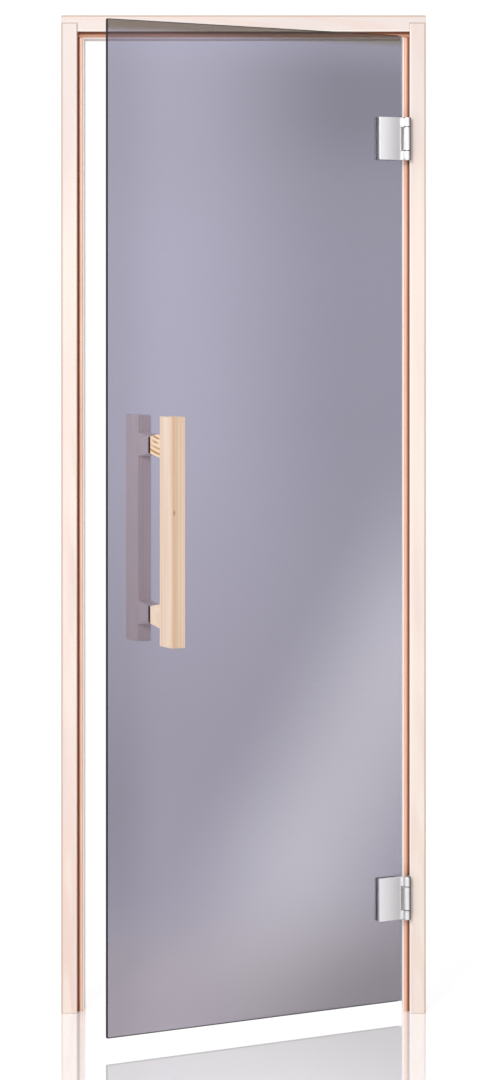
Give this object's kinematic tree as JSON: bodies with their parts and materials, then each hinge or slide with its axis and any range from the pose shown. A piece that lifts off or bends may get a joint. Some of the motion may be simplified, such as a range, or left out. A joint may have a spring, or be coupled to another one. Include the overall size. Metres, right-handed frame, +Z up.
{
  "type": "sauna door",
  "caption": "Tinted glass door leaf on clamp hinges in a three-sided rebated wood frame, with a wooden bar handle on each side of the glass.",
  "frame": {"origin": "centre of the hinge jamb's foot, on the finished floor", "axes": "+Z up along the jambs, +X from the strike jamb towards the hinge jamb, +Y through the doorway from the side the door opens to"},
  "size_m": [0.69, 0.399, 1.89],
  "materials": {
    "frame_wood": "planed pale softwood, untreated",
    "handle_wood": "planed wood, eased edges",
    "tinted_glass": "toughened, grey tint, ground edges",
    "hinge_metal": "satin",
    "screw_steel": "plain steel",
    "seal": "tan silicone strip",
    "gasket": "grey clamp gasket",
    "handle_pad": "dark soft pad",
    "washer_nylon": "dark bearing washer"
  },
  "bodies": {
    "frame": {"hinge_jamb": "frame_wood", "strike_jamb": "frame_wood", "head": "frame_wood", "seal_hinge_side": "seal", "seal_strike_side": "seal", "seal_head": "seal", "hinge_upper_frame_leaf": "hinge_metal", "hinge_upper_pin": "screw_steel", "hinge_upper_top_washer": "washer_nylon", "hinge_upper_bottom_washer": "washer_nylon", "hinge_lower_frame_leaf": "hinge_metal", "hinge_lower_pin": "screw_steel", "hinge_lower_top_washer": "washer_nylon", "hinge_lower_bottom_washer": "washer_nylon"},
    "door_leaf": {"glass_pane": "tinted_glass", "hinge_upper_front_plate": "hinge_metal", "hinge_upper_back_plate": "hinge_metal", "hinge_upper_front_gasket": "gasket", "hinge_upper_back_gasket": "gasket", "hinge_upper_top_clamp_screw": "screw_steel", "hinge_upper_bottom_clamp_screw": "screw_steel", "hinge_lower_front_plate": "hinge_metal", "hinge_lower_back_plate": "hinge_metal", "hinge_lower_front_gasket": "gasket", "hinge_lower_back_gasket": "gasket", "hinge_lower_top_clamp_screw": "screw_steel", "hinge_lower_bottom_clamp_screw": "screw_steel", "handle_outer_bar": "handle_wood", "handle_outer_upper_standoff": "handle_wood", "handle_outer_upper_pad": "handle_pad", "handle_outer_lower_standoff": "handle_wood", "handle_outer_lower_pad": "handle_pad", "handle_inner_bar": "handle_wood", "handle_inner_upper_standoff": "handle_wood", "handle_inner_upper_pad": "handle_pad", "handle_inner_lower_standoff": "handle_wood", "handle_inner_lower_pad": "handle_pad", "handle_upper_bolt": "screw_steel", "handle_lower_bolt": "screw_steel"}
  },
  "joints": [
    {"name": "door_swing", "type": "hinge", "parent": "frame", "child": "door_leaf", "pos_m": [-0.0145, -0.045, 0.939], "axis": [0, 0, 1], "range_deg": [-28.1, 91.9]}
  ]
}
